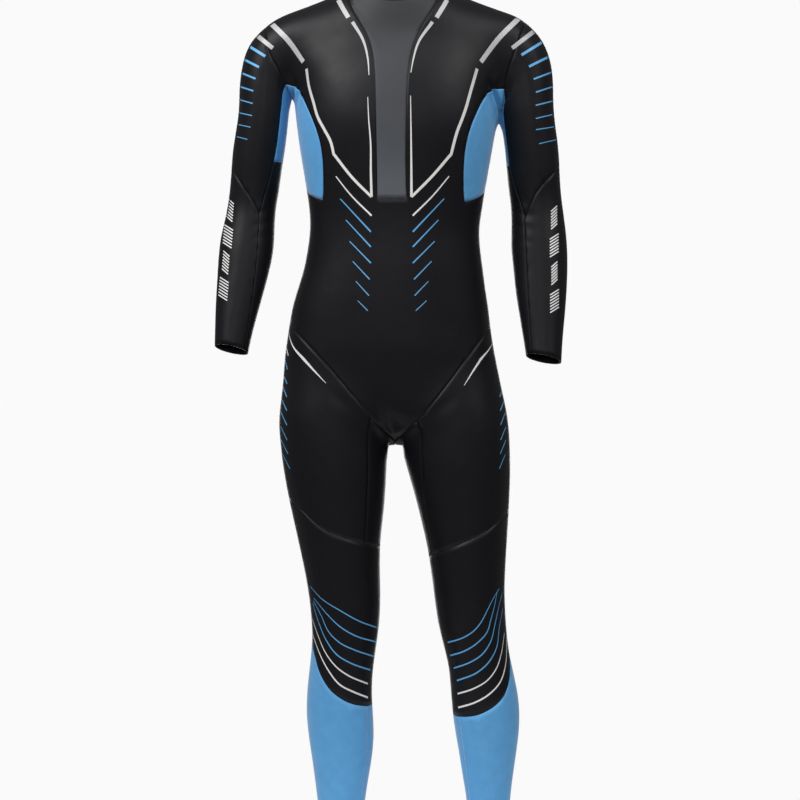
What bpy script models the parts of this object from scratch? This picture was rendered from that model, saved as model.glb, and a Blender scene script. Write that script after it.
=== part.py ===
"""A long-sleeved triathlon wetsuit, filled out as when it is worn.

The suit is cut from rubber panels glued and stitched edge to edge.  The panels lie on one smooth form, a
general standing figure given by short tables of sections.  A seam is a curve through a few places on that
form.  A panel is one or more patches between seams, with its wall turned inwards.

+X is the wearer's left, the chest faces -Y, and the origin is in the neck opening.  Tables are in millimetres.
"""
import math

import bmesh
import bpy
import numpy as np
from mathutils import Matrix, Vector

MM = 0.001

# Cloth, in millimetres
BODY_WALL = 3.0
SLEEVE_WALL = 2.0
COLLAR_WALL = 2.0
SEAM_GAP = 0.3

# Where the suit ends
HEM = -1379
CUFF = {"right": -560, "left": -575}
CUFF_FRONT_RISE = 6
CUFF_OUTER_RISE = {"right": 6, "left": -6}

# Back zip
ZIP_HALF_OPENING = 9
TAPE_WALL = 1.0
TAPE_SINK = 1.2
COIL_HALF_WIDTH = 3.2
COIL_TOP = 1.3
COIL_WALL = 2.0
SLIDER_UP = 42
SLIDER_LENGTH = 14.0
SLIDER_HALF_WIDTH = 5.2
SLIDER_TOP = 3.4
SLIDER_FOOT = -0.8
CHANNEL_HALF_WIDTH = 3.7
CHANNEL_TOP = 1.8
BRIDGE_WIDTH = 2.4
BRIDGE_HALF_OPENING = 2.25
BRIDGE_BAR = 1.2
HINGE_HEIGHT = 5.0
TAB_WALL = 1.4
TAB_WIDTH = 8.0
TAB_LENGTH = 30.0
TAB_WINDOW = (3.6, 5.2)

# How often the points inside a patch are evened out; in the tight right armpit they stay as they fall
EASING = 10
ARMPIT_EASING = {"right": 0, "left": 10}

# The front drawing is seen from here
EYE = np.array([7.6, -4500, -640])
SIGN = {"right": -1, "left": 1}

# Sections of the form: height, middle, half_width, front, back
TORSO = (
    (-702, -1, 30, 38, 38),
    (-690, -2, 66, 66, 70),
    (-674, -3, 108, 79, 92),
    (-640, -6, 152, 88, 112),
    (-592, -8, 170, 95, 124),
    (-560, -9, 167, 99, 126),
    (-528, -9, 162, 100, 122),
    (-496, -8, 158, 101, 116),
    (-464, -6, 151, 101, 108),
    (-432, -3, 144, 101, 100),
    (-400, -2, 139, 100, 94),
    (-368, -1, 136, 100, 90),
    (-336, 1, 139, 102, 89),
    (-304, 1, 144, 106, 92),
    (-272, 1, 149, 110, 98),
    (-240, 1, 154, 115, 104),
    (-208, 1, 157, 118, 110),
    (-160, 1, 159, 113, 116),
    (-96, 2, 154, 92, 112),
    (-60, 3, 130, 71, 98),
    (-30, 2, 104, 58, 84),
    (0, 0, 70, 40, 62),
)
LEGS = {
    "right": (
        (-1420, -86, 32, 32, 42),
        (-1380, -86, 32, 32, 41),
        (-1328, -87, 34, 33, 43),
        (-1278, -86, 38, 36, 50),
        (-1240, -86, 44, 40, 58),
        (-1200, -85, 50, 44, 67),
        (-1160, -88, 54, 49, 71),
        (-1120, -90, 53, 54, 68),
        (-1072, -87, 51, 60, 58),
        (-1040, -82, 51, 64, 53),
        (-992, -79, 55, 68, 56),
        (-960, -80, 57, 70, 62),
        (-880, -88, 64, 78, 76),
        (-800, -93, 77, 85, 90),
        (-720, -98, 85, 90, 104),
        (-640, -102, 80, 84, 106),
        (-600, -98, 60, 66, 84),
        (-560, -92, 34, 38, 48),
    ),
    "left": (
        (-1420, 149, 32, 26, 48),
        (-1380, 150, 32, 26, 47),
        (-1328, 149, 33, 28, 48),
        (-1278, 149, 35, 31, 54),
        (-1240, 148, 41, 36, 61),
        (-1200, 148, 47, 42, 69),
        (-1160, 147, 53, 48, 72),
        (-1120, 144, 55, 54, 68),
        (-1072, 138, 51, 60, 58),
        (-1040, 130, 51, 64, 53),
        (-992, 122, 55, 68, 56),
        (-960, 119, 56, 70, 62),
        (-880, 115, 63, 78, 76),
        (-800, 108, 75, 85, 90),
        (-720, 98, 86, 90, 104),
        (-640, 95, 79, 84, 106),
        (-600, 92, 60, 66, 84),
        (-560, 86, 34, 38, 48),
    ),
}
# Sections of the form: height, middle, half_width, middle_y, half_depth
ARMS = {
    "right": (
        (-630, -264, 27, -54, 29),
        (-552, -259, 28, -36, 30),
        (-528, -256, 31, -30, 32),
        (-496, -252, 35, -22, 35),
        (-464, -247, 39, -14, 38),
        (-432, -242, 42, -6, 41),
        (-400, -239, 45, 2, 44),
        (-368, -236, 43, 9, 44),
        (-336, -231, 39, 14, 43),
        (-304, -226, 40, 14, 45),
        (-272, -223, 41, 12, 48),
        (-240, -219, 42, 10, 50),
        (-208, -215, 41, 8, 51),
        (-176, -212, 39, 6, 51),
        (-144, -211, 40, 6, 50),
        (-112, -208, 40, 6, 48),
        (-80, -203, 38, 6, 44),
        (-60, -198, 33, 6, 38),
        (-42, -190, 24, 6, 28),
    ),
    "left": (
        (-640, 236, 28, -53, 29),
        (-576, 236, 28, -40, 30),
        (-560, 235, 29, -36, 31),
        (-528, 235, 34, -28, 33),
        (-496, 234, 38, -20, 36),
        (-464, 233, 42, -12, 39),
        (-432, 233, 44, -4, 42),
        (-400, 231, 46, 3, 44),
        (-368, 231, 45, 9, 44),
        (-336, 228, 42, 14, 43),
        (-304, 224, 42, 14, 45),
        (-272, 222, 43, 12, 48),
        (-240, 220, 43, 10, 50),
        (-208, 217, 42, 8, 51),
        (-176, 213, 42, 6, 51),
        (-144, 212, 43, 6, 50),
        (-112, 210, 44, 6, 48),
        (-80, 205, 42, 6, 44),
        (-60, 199, 38, 6, 38),
        (-42, 192, 28, 6, 28),
    ),
}
# Shoulders: distance out, half_height, top, middle_y, half_depth
YOKE = (
    (0, 60, 44, 14, 74),
    (60, 60, 24, 14, 74),
    (120, 55, 1, 12, 64),
    (160, 50, -14, 9, 55),
    (190, 42, -27, 7, 46),
    (212, 26, -44, 6, 30),
)
YOKE_MIDDLE = 5
# Neck: height, middle, half_width, middle_y, half_depth
NECK = (
    (-110, 0, 56, 18, 60),
    (-40, 0, 62, 14, 66),
    (0, 0, 62, 8, 66),
    (40, 0, 61, 0, 65),
    (80, 0, 60, -8, 64),
    (120, 0, 60, -14, 64),
)
# Roundness of a section (2 is an ellipse) and width of the fillet where two parts of the form meet
TORSO_SQUARE = 2.3
LIMB_SQUARE = 2.1
FILLET = {"shoulders": 45, "neck": 30, "right arm": 28, "left arm": 32, "crotch": 30, "legs": 36, "end": 30}


# The form

def smooth_rows(table, at):
    """Columns of a table, after its first, interpolated smoothly at the given values of its first column."""
    rows = np.array(table, float)
    place = rows[:, 0]
    value = rows[:, 1:]
    slope = np.gradient(value, place, axis=0)
    at = np.clip(at, place[0], place[-1])
    row = np.clip(np.searchsorted(place, at) - 1, 0, len(place) - 2)
    step = (place[row + 1] - place[row])[:, None]
    part = (at - place[row])[:, None] / step
    return ((1 + 2 * part) * (1 - part) ** 2 * value[row] + part * (1 - part) ** 2 * step * slope[row]
            + part ** 2 * (3 - 2 * part) * value[row + 1] - part ** 2 * (1 - part) * step * slope[row + 1])


def outside_oval(across, along, half_across, half_along, square):
    reach = np.hypot(across, along) + 1e-6
    share = ((np.abs(across) / half_across) ** square + (np.abs(along) / half_along) ** square) ** (1 / square)
    return reach * (1 - 1 / np.maximum(share, 0.05))


def join(a, b, fillet):
    near = np.maximum(fillet - np.abs(a - b), 0) / fillet
    return np.minimum(a, b) - near ** 2 * fillet / 4


def close_ends(outside, table, place):
    past = np.maximum(table[0][0] - place, place - table[-1][0])
    return -join(-outside, -past, FILLET["end"])


def outside_trunk(points, table, square):
    x, y, z = points.T
    middle, half, front, back = smooth_rows(table, z).T
    outside = outside_oval(x - middle, y, half, np.where(y < 0, front, back), square)
    return close_ends(outside, table, z)


def outside_tube(points, table, square):
    x, y, z = points.T
    middle, half, middle_y, half_depth = smooth_rows(table, z).T
    return close_ends(outside_oval(x - middle, y - middle_y, half, half_depth, square), table, z)


def outside_yoke(points):
    x, y, z = points.T
    out = np.abs(x - YOKE_MIDDLE)
    half_height, top, middle_y, half_depth = smooth_rows(YOKE, out).T
    outside = outside_oval(y - middle_y, z - top + half_height, half_depth, half_height, LIMB_SQUARE)
    return close_ends(outside, YOKE, out)


def form(points):
    """How far points lie outside the form, roughly; negative inside it."""
    body = join(outside_trunk(points, TORSO, TORSO_SQUARE), outside_yoke(points), FILLET["shoulders"])
    body = join(body, outside_tube(points, NECK, 2), FILLET["neck"])
    for side, table in ARMS.items():
        body = join(body, outside_tube(points, table, LIMB_SQUARE), FILLET[side + " arm"])
    legs = [outside_trunk(points, table, LIMB_SQUARE) for table in LEGS.values()]
    return join(body, join(legs[0], legs[1], FILLET["crotch"]), FILLET["legs"])


def slope(points, step=0.2):
    ways = np.eye(3) * step
    return np.stack([form(points + way) - form(points - way) for way in ways], 1) / (2 * step)


def normals(points):
    away = slope(points)
    return away / np.linalg.norm(away, axis=1, keepdims=True)


def settle(points, rounds=10, longest=8.0):
    """Points moved along the form's slope until they lie on it."""
    points = np.array(points, float)
    for _ in range(rounds):
        away = slope(points)
        move = -form(points)[:, None] * away / np.maximum((away ** 2).sum(1), 0.05)[:, None]
        length = np.linalg.norm(move, axis=1, keepdims=True)
        points += move * np.minimum(1, longest / np.maximum(length, 1e-9))
    return points


# Places on the form

def first_touch(start, way, reach, steps=400):
    """Where a line from start first crosses the form, or comes nearest to it."""
    way = np.array(way, float) / np.linalg.norm(way)
    along = np.linspace(0, reach, steps)
    side = form(start + along[:, None] * way)
    crossing = np.nonzero(np.sign(side[1:]) != np.sign(side[0]))[0]
    found = along[crossing[0]] if len(crossing) else along[np.argmin(np.abs(side))]
    return settle([start + (found + reach / steps / 2) * way])[0]


def seen(across, up):
    """The place that the front drawing shows at a point of its sheet, which stands at y = 0."""
    way = np.array([across, 0, up]) - EYE
    way /= np.linalg.norm(way)
    return first_touch(np.array([across, 0, up]) - 250 * way, way, 500)


def behind(across, up):
    return first_touch(np.array([across, 250, up]), (0, -1, 0), 400)


def over(across, deep):
    return first_touch(np.array([across, deep, 120]), (0, 0, -1), 300)


def under(across, deep, start):
    return first_touch(np.array([across, deep, start]), (0, 0, 1), 300)


def around(tube, side, up, turn):
    """The place at a height and a turn about a tube's middle: 0 is the front, 90 the wearer's outer side."""
    table = {"torso": TORSO, "neck": NECK, "arm": ARMS.get(side), "leg": LEGS.get(side)}[tube]
    middle, _, third, fourth = smooth_rows(table, np.array([up]))[0]
    deep = third if tube in ("neck", "arm") else (fourth - third) / 2
    angle = math.radians(turn)
    way = (math.sin(angle) * SIGN[side], -math.cos(angle), 0)
    return first_touch(np.array([middle, deep, up]), way, 240)


def seam(places, count):
    """A smooth curve on the form through places, as count equal steps."""
    places = np.array(places)
    run = np.append(0, np.cumsum(np.linalg.norm(np.diff(places, axis=0), axis=1)))
    fine = smooth_rows(np.column_stack([run, places]), np.linspace(0, run[-1], 240))
    length = np.append(0, np.cumsum(np.linalg.norm(np.diff(fine, axis=0), axis=1)))
    even = np.linspace(0, length[-1], count + 1)
    line = settle(np.stack([np.interp(even, length, fine[:, axis]) for axis in range(3)], 1))
    line[0] = places[0]
    line[-1] = places[-1]
    return line


def split_seam(places, middle, counts):
    """One smooth curve through places, as two seams that meet at one of them."""
    places = np.array(places)
    run = np.append(0, np.cumsum(np.linalg.norm(np.diff(places, axis=0), axis=1)))
    table = np.column_stack([run, places])
    first = smooth_rows(table, np.linspace(0, run[middle], 60))
    second = smooth_rows(table, np.linspace(run[middle], run[-1], 60))
    return seam(first, counts[0]), seam(second, counts[1])


def chain(*lines):
    """Seams that follow each other, as one edge of a patch."""
    return np.concatenate([lines[0]] + [line[1:] for line in lines[1:]])


def patch(top, bottom, start, end, easing=EASING):
    """Rows of points between four edges; start and end run from the top edge to the bottom one."""
    rows, columns = len(start), len(top)
    down = np.linspace(0, 1, rows)[:, None, None]
    along = np.linspace(0, 1, columns)[None, :, None]
    corners = ((1 - down) * ((1 - along) * top[0] + along * top[-1])
               + down * ((1 - along) * bottom[0] + along * bottom[-1]))
    sheet = ((1 - down) * top[None] + down * bottom[None]
             + (1 - along) * start[:, None] + along * end[:, None] - corners)
    inside = sheet[1:-1, 1:-1]
    inside[:] = settle(inside.reshape(-1, 3)).reshape(inside.shape)
    for _ in range(easing):
        even = (sheet[:-2, 1:-1] + sheet[2:, 1:-1] + sheet[1:-1, :-2] + sheet[1:-1, 2:]) / 4
        inside[:] = settle(even.reshape(-1, 3), 3).reshape(inside.shape)
    return sheet


# Making pieces

def finish(name, colour, roughness, metallic=0.0):
    material = bpy.data.materials.new(name)
    material.use_nodes = True
    shader = material.node_tree.nodes["Principled BSDF"]
    shader.inputs["Base Color"].default_value = (*colour, 1)
    shader.inputs["Roughness"].default_value = roughness
    shader.inputs["Metallic"].default_value = metallic
    return material


def add_object(name, mesh, material):
    data = bpy.data.meshes.new(name)
    mesh.to_mesh(data)
    mesh.free()
    data.materials.append(material)
    data.shade_smooth()
    data.set_sharp_from_angle(angle=math.radians(40))
    piece = bpy.data.objects.new(name, data)
    bpy.context.collection.objects.link(piece)
    return piece


def draw_back_border(mesh, out, amount):
    """The open border of a sheet, moved in along the form."""
    moves = {}
    for vert, normal in zip(mesh.verts, out):
        border = [edge for edge in vert.link_edges if edge.is_boundary]
        if not border:
            continue
        ways = []
        for edge in border:
            face = edge.link_faces[0]
            along = (edge.verts[1].co - edge.verts[0].co).normalized()
            way = normal.cross(along)
            if way.dot(face.calc_center_median() - edge.verts[0].co) < 0:
                way.negate()
            ways.append(way.normalized())
        middle = sum(ways, Vector()).normalized()
        moves[vert] = middle * amount / max(0.5, middle.dot(ways[0]))
    for vert, move in moves.items():
        vert.co += move


def split_edge_faces(mesh, inner, home):
    """Both panels at a seam get the same diagonals across their edges, so that these stay parallel."""
    for face in list(mesh.faces):
        outer_verts = [vert for vert in face.verts if vert not in inner]
        if len(outer_verts) != 2 or len(face.verts) != 4:
            continue
        first = min(outer_verts, key=lambda vert: home[vert])
        corners = list(face.verts)
        opposite = corners[(corners.index(first) + 2) % 4]
        bmesh.utils.face_split(face, first, opposite)


def panel(name, patches, wall, material, sink=0.0):
    """Patches welded to one sheet, drawn back at the seams, with the wall turned inwards."""
    mesh = bmesh.new()
    for sheet in patches:
        rows, columns = sheet.shape[:2]
        grid = bmesh.ops.create_grid(mesh, x_segments=columns - 1, y_segments=rows - 1, size=1)
        for vert, place in zip(grid["verts"], sheet.reshape(-1, 3) * MM):
            vert.co = place
    bmesh.ops.remove_doubles(mesh, verts=mesh.verts, dist=0.00005)
    out = [Vector(way) for way in normals(np.array([vert.co for vert in mesh.verts]) / MM)]
    mesh.normal_update()
    mesh.verts.index_update()
    for face in mesh.faces:
        if face.normal.dot(out[face.verts[0].index]) < 0:
            face.normal_flip()
    mesh.normal_update()
    home = {vert: tuple(vert.co) for vert in mesh.verts}
    draw_back_border(mesh, out, SEAM_GAP / 2 * MM)
    for vert, way in zip(mesh.verts, out):
        vert.co -= way * sink * MM
    inner = bmesh.ops.extrude_face_region(mesh, geom=mesh.faces[:], use_keep_orig=True)["geom"]
    inner = [item for item in inner if isinstance(item, bmesh.types.BMVert)]
    mesh.verts.index_update()
    ways = normals(np.array([vert.co for vert in inner]) / MM)
    for vert, way in zip(inner, ways):
        vert.co -= Vector(way) * wall * MM
    split_edge_faces(mesh, set(inner), home)
    bmesh.ops.recalc_face_normals(mesh, faces=mesh.faces)
    return add_object(name, mesh, material)


for old in list(bpy.data.objects):
    bpy.data.objects.remove(old)

BLACK = finish("smooth_black_rubber", (0.012, 0.012, 0.014), 0.42)
BLUE = finish("blue_jersey", (0.115, 0.40, 0.75), 0.62)
GREY = finish("grey_rubber", (0.085, 0.09, 0.10), 0.55)
TAPE = finish("zip_tape", (0.02, 0.02, 0.02), 0.8)
METAL = finish("dark_metal", (0.10, 0.10, 0.11), 0.3, 1.0)

# Seam places read from the front drawing: across and up on its sheet
CHEST_STRIP = {
    "right": ((-64, -21), (-48, -38), (-38, -58), (-32, -76), (-30, -96), (-29, -150), (-28, -243)),
    "left": ((53, -22), (38, -40), (28, -58), (22, -78), (18, -104), (16, -150), (15, -227)),
}
STRIP_TOP = {"right": (-77, 0), "left": (69, 0)}
STRIP_FOOT = {"right": (-27, -318), "left": (16, -318)}
ARMHOLE = {
    "right": ((-207, -64), (-199, -99), (-187, -112), (-179, -124)),
    "left": ((198, -64), (190, -90), (184, -110), (179, -126)),
}
ARMHOLE_LOW = {"right": (-176, -135), "left": (177, -140)}
SIDE_EDGE = {
    "right": ((-166, -134), (-156, -140), (-149, -153), (-134, -185), (-117, -224), (-113, -260)),
    "left": ((166, -137), (154, -137), (145, -147), (130, -175), (112, -215), (106, -256)),
}
SIDE_FOOT = {"right": (-114, -324), "left": (108, -327)}
HIP_SEAM = {
    "right": ((-150, -536), (-109, -583), (-62, -640)),
    "left": ((134, -544), (92, -604), (60, -646)),
}
GUSSET_CORNER = {"right": (-43, -260), "left": (-70, -264)}
ELBOW_CORNER = {"right": (-216, -341), "left": (206, -345)}
ELBOW_SEAM = {
    "right": ((-222, -332), (-245, -293), (-261, -266)),
    "left": ((214, -334), (225, -305), (242, -284), (261, -266)),
}
FOREARM_EDGE = {
    "right": ((-218, -362), (-219, -400), (-228, -480)),
    "left": ((207, -375), (209, -413), (213, -500)),
}
THIGH_CORNER = {"right": (-40, -668), "left": (38, -674)}
THIGH_LINE = {"right": ((-43, -740), (-46, -820)), "left": ((43, -740), (50, -840))}
KNEE_CORNER = {"right": (-48, -868), "left": (58, -885)}
KNEE_SEAM = {
    "right": ((-155, -808), (-117, -846), (-80, -860)),
    "left": ((172, -826), (148, -848), (100, -871)),
}
CALF_EDGE = {
    "right": ((-130, -1037), (-123, -1064), (-117, -1088), (-106, -1106), (-88, -1121)),
    "left": ((183, -1052), (183, -1082), (180, -1106), (166, -1130), (139, -1145)),
}
CALF_CORNER = {"right": (-44, -1132), "left": (101, -1149)}

# Heights and turns of the seams that the front doesn't show
COLLAR_TOP = ((0, -11), (20, -9), (40, 4))
COLLAR_SIDE = ((90, 41), (135, 52))
COLLAR_SPLIT = (58, 24)
COLLAR_BACK_TOP = 55
NECK_SIDE = (100, 20)
NECK_BACK = (142, 13)
NECK_BACK_UP = 8
SHOULDER_TIP = (205, 14)
SHOULDER_MIDDLE = (135, 24)
ARMPIT = {"right": (-165, 5), "left": (167, 5)}
SIDE_SEAM_TURN = 100
SIDE_PANEL_LOW = -298
HIP = -505
ZIP_FOOT = -400
ARMHOLE_BACK = ((200, -70), (190, -105))
ARMHOLE_BACK_LOW = (166, -138)
SIDE_EDGE_BACK = ((146, -160), (128, -210), (118, -265))
SIDE_FOOT_BACK = (112, -330)
SLEEVE_BACK_TURN = 215
ELBOW_BACK = (340, (130, -268), (175, -288))
SEAT_SEAM = ((140, -570), (90, -640))
SEAT_CORNER = (44, -682)
CROTCH = (1, -36)
CROTCH_BACK = (1, 40)
OUTER_TURN = 98
INNER_BACK_TURN = -140
KNEE_TOP_OUTER = {"right": -798, "left": -818}
CALF_TOP_OUTER = -1022
CALF_TOP_BACK = -1040
CALF_TOP_INNER = -1095
CALF_BACK_TURN = 185

# Steps along seams
STEPS = {
    "strip": 6, "collar": 2, "neck front": 3, "neck back": 4, "shoulder": 7, "armhole": 6, "side edge": 8,
    "armpit": 3, "armpit back": 5, "side seam": 12, "hip": 11, "fork": 2, "gusset": 6, "elbow": 4, "forearm": 8,
    "thigh": 9, "knee": 7, "calf": 8, "calf back": 5,
}
STEPS["chest"] = STEPS["armhole"] + STEPS["side edge"] - STEPS["neck front"]
STEPS["back zip"] = STEPS["armhole"] + STEPS["side edge"] - STEPS["neck back"]


def cut_collar_and_body(side):
    """Seams of one half of the collar, chest and back."""
    sign = SIGN[side]
    strip_top = seen(*STRIP_TOP[side])
    strip_foot = seen(*STRIP_FOOT[side])
    collar_split = around("neck", side, COLLAR_SPLIT[1], COLLAR_SPLIT[0])
    neck_side = around("neck", side, NECK_SIDE[1], NECK_SIDE[0])
    zip_neck = behind(sign * ZIP_HALF_OPENING, NECK_BACK_UP)
    zip_top = behind(sign * ZIP_HALF_OPENING, COLLAR_BACK_TOP)
    zip_foot = behind(sign * ZIP_HALF_OPENING, ZIP_FOOT)
    tip = over(sign * SHOULDER_TIP[0], SHOULDER_TIP[1])
    armhole_low = seen(*ARMHOLE_LOW[side])
    armhole_back = behind(sign * ARMHOLE_BACK_LOW[0], ARMHOLE_BACK_LOW[1])
    armpit = under(*ARMPIT[side], -300)
    side_foot = seen(*SIDE_FOOT[side])
    side_foot_back = behind(sign * SIDE_FOOT_BACK[0], SIDE_FOOT_BACK[1])
    side_low = around("torso", side, SIDE_PANEL_LOW, SIDE_SEAM_TURN)
    hip = around("torso", side, HIP, SIDE_SEAM_TURN)
    front_half = [seen(*place) for place in ARMHOLE[side]] + [armhole_low]
    back_half = [behind(sign * x, z) for x, z in ARMHOLE_BACK] + [armhole_back]
    armhole, armhole_back_seam = split_seam(front_half[::-1] + [tip] + back_half, len(front_half),
                                            (STEPS["armhole"], STEPS["armhole"]))
    return {
        "collar front": seam([around("neck", side, up, turn) for turn, up in COLLAR_TOP] + [collar_split],
                             STEPS["strip"] // 2),
        "collar back": seam([collar_split] + [around("neck", side, up, turn) for turn, up in COLLAR_SIDE]
                            + [zip_top], STEPS["neck front"] + STEPS["neck back"]),
        "collar split": seam([collar_split, strip_top], STEPS["collar"]),
        "neck front": seam([strip_top, neck_side], STEPS["neck front"]),
        "neck back": seam([neck_side, around("neck", side, NECK_BACK[1], NECK_BACK[0]), zip_neck],
                          STEPS["neck back"]),
        "collar zip": seam([zip_top, zip_neck], STEPS["collar"]),
        "back zip": seam([zip_neck, behind(sign * ZIP_HALF_OPENING, -120), behind(sign * ZIP_HALF_OPENING, -260),
                          zip_foot], STEPS["back zip"]),
        "chest": seam([strip_top] + [seen(*place) for place in CHEST_STRIP[side]] + [strip_foot],
                      STEPS["chest"]),
        "shoulder": seam([neck_side, over(sign * SHOULDER_MIDDLE[0], SHOULDER_MIDDLE[1]), tip],
                         STEPS["shoulder"]),
        "armhole": armhole[::-1],
        "armhole back": armhole_back_seam,
        "armpit": seam([armhole_low, armpit], STEPS["armpit"]),
        "armpit back": seam([armpit, armhole_back], STEPS["armpit back"]),
        "side edge": seam([armhole_low] + [seen(*place) for place in SIDE_EDGE[side]] + [side_foot],
                          STEPS["side edge"]),
        "side edge back": seam([armhole_back] + [behind(sign * x, z) for x, z in SIDE_EDGE_BACK]
                               + [side_foot_back], STEPS["side edge"]),
        "side foot": seam([side_foot, side_low], STEPS["armpit"]),
        "side foot back": seam([side_low, side_foot_back], STEPS["armpit back"]),
        "chest foot": seam([strip_foot, side_foot], STEPS["shoulder"]),
        "back foot": seam([zip_foot, side_foot_back], STEPS["shoulder"]),
        "side seam": seam([side_low, around("torso", side, -400, SIDE_SEAM_TURN), hip], STEPS["side seam"]),
    }


def cut_hips_and_leg(side, cut):
    """Seams of one hip and leg."""
    sign = SIGN[side]
    hip = cut["side seam"][-1]
    thigh_corner = seen(*THIGH_CORNER[side])
    seat_corner = behind(sign * SEAT_CORNER[0], SEAT_CORNER[1])
    crotch = under(*CROTCH, -900)
    crotch_back = under(*CROTCH_BACK, -900)
    knee_outer = around("leg", side, KNEE_TOP_OUTER[side], OUTER_TURN)
    knee_corner = seen(*KNEE_CORNER[side])
    knee_back = around("leg", side, KNEE_CORNER[side][1], INNER_BACK_TURN)
    calf_outer = around("leg", side, CALF_TOP_OUTER, OUTER_TURN)
    calf_corner = seen(*CALF_CORNER[side])
    calf_inner = around("leg", side, CALF_TOP_INNER, INNER_BACK_TURN)
    calf_back = around("leg", side, CALF_TOP_BACK, CALF_BACK_TURN)
    front_turn = turn_of(side, calf_corner)
    hem_corner = around("leg", side, HEM, front_turn)
    hem_back = around("leg", side, HEM, CALF_BACK_TURN)
    inner_steps = 2 * STEPS["fork"] + 2
    cut.update({
        "hip": seam([hip] + [seen(*place) for place in HIP_SEAM[side]] + [thigh_corner], STEPS["hip"]),
        "fork": seam([thigh_corner, crotch], STEPS["fork"]),
        "seat": seam([hip] + [behind(sign * x, z) for x, z in SEAT_SEAM] + [seat_corner], STEPS["hip"]),
        "fork back": seam([crotch_back, seat_corner], STEPS["fork"]),
        "crotch": seam([crotch, crotch_back], 2),
        "outer thigh": seam([hip, around("leg", side, -650, OUTER_TURN), knee_outer], STEPS["thigh"]),
        "inner thigh": seam([thigh_corner] + [seen(*place) for place in THIGH_LINE[side]] + [knee_corner],
                            STEPS["thigh"]),
        "inner thigh back": seam([seat_corner, around("leg", side, -770, INNER_BACK_TURN), knee_back],
                                 STEPS["thigh"]),
        "knee top": seam([knee_outer] + [seen(*place) for place in KNEE_SEAM[side]] + [knee_corner],
                         STEPS["hip"]),
        "knee top inner": seam([knee_corner, around("leg", side, KNEE_CORNER[side][1] - 4, -90), knee_back],
                               inner_steps),
        "outer knee": seam([knee_outer, around("leg", side, -910, OUTER_TURN), calf_outer], STEPS["knee"]),
        "inner knee back": seam([knee_back, around("leg", side, -985, INNER_BACK_TURN), calf_inner],
                                STEPS["knee"]),
        "calf top": seam([calf_outer] + [seen(*place) for place in CALF_EDGE[side]] + [calf_corner],
                         STEPS["hip"]),
        "calf top inner": seam([calf_corner, around("leg", side, CALF_CORNER[side][1] + 8, -95), calf_inner],
                               inner_steps),
        "calf top outer back": seam([calf_outer, around("leg", side, CALF_TOP_OUTER - 8, 140), calf_back],
                                    STEPS["calf back"]),
        "calf top inner back": seam([calf_back, calf_inner], STEPS["hip"] - STEPS["calf back"]),
        "calf seam": seam([calf_corner, around("leg", side, -1260, front_turn), hem_corner], STEPS["calf"]),
        "calf back seam": seam([calf_back, around("leg", side, -1200, CALF_BACK_TURN), hem_back],
                               STEPS["calf"]),
        "hem outer": seam([around("leg", side, HEM, turn) for turn in
                           np.linspace(front_turn, CALF_BACK_TURN, 9)], STEPS["hip"] + STEPS["calf back"]),
        "hem inner": seam([around("leg", side, HEM, turn) for turn in
                           np.linspace(front_turn, CALF_BACK_TURN - 360, 7)],
                          inner_steps + STEPS["hip"] - STEPS["calf back"]),
    })


def turn_of(side, place):
    """The turn of a place about the middle of its leg."""
    middle, _, front, back = smooth_rows(LEGS[side], place[2:3])[0]
    return math.degrees(math.atan2((place[0] - middle) * SIGN[side], (back - front) / 2 - place[1]))


def cuff_place(side, turn):
    angle = math.radians(turn)
    up = CUFF[side] + CUFF_FRONT_RISE * math.cos(angle) + CUFF_OUTER_RISE[side] * math.sin(angle)
    return around("arm", side, up, turn)


def cut_sleeve(side, cut):
    """Seams of one sleeve."""
    armhole_low = cut["armhole"][-1]
    armhole_back = cut["armhole back"][-1]
    turn, up = GUSSET_CORNER[side]
    gusset = around("arm", side, up, turn)
    gusset_back = around("arm", side, up, SLEEVE_BACK_TURN)
    elbow = seen(*ELBOW_CORNER[side])
    elbow_back = around("arm", side, -ELBOW_BACK[0], SLEEVE_BACK_TURN)
    cuff_turn = {"right": -55, "left": -44}[side]
    cuff = cuff_place(side, cuff_turn)
    cuff_back = cuff_place(side, SLEEVE_BACK_TURN)
    inner_turns = np.linspace(cuff_turn, SLEEVE_BACK_TURN - 360, 5)
    outer_turns = np.linspace(cuff_turn, SLEEVE_BACK_TURN, 9)
    cut.update({
        "gusset": seam([armhole_low, around("arm", side, -205, turn), gusset], STEPS["gusset"]),
        "gusset back": seam([armhole_back, around("arm", side, -200, SLEEVE_BACK_TURN), gusset_back],
                            STEPS["gusset"]),
        "gusset foot": seam([gusset, around("arm", side, up, (turn + SLEEVE_BACK_TURN - 360) / 2),
                             gusset_back], STEPS["armpit"] + STEPS["armpit back"]),
        "elbow": seam([gusset, elbow], STEPS["elbow"]),
        "elbow back": seam([gusset_back, elbow_back], STEPS["elbow"]),
        "elbow seam": seam([elbow] + [seen(*place) for place in ELBOW_SEAM[side]]
                           + [around("arm", side, up, turn) for turn, up in ELBOW_BACK[1:]]
                           + [elbow_back], 2 * STEPS["armhole"]),
        "forearm": seam([elbow] + [seen(*place) for place in FOREARM_EDGE[side]] + [cuff], STEPS["forearm"]),
        "forearm back": seam([elbow_back, around("arm", side, -450, SLEEVE_BACK_TURN), cuff_back],
                             STEPS["forearm"]),
        "cuff inner": seam([cuff_place(side, turn) for turn in inner_turns],
                           STEPS["armpit"] + STEPS["armpit back"]),
        "cuff outer": seam([cuff_place(side, turn) for turn in outer_turns], 2 * STEPS["armhole"]),
    })


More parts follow.
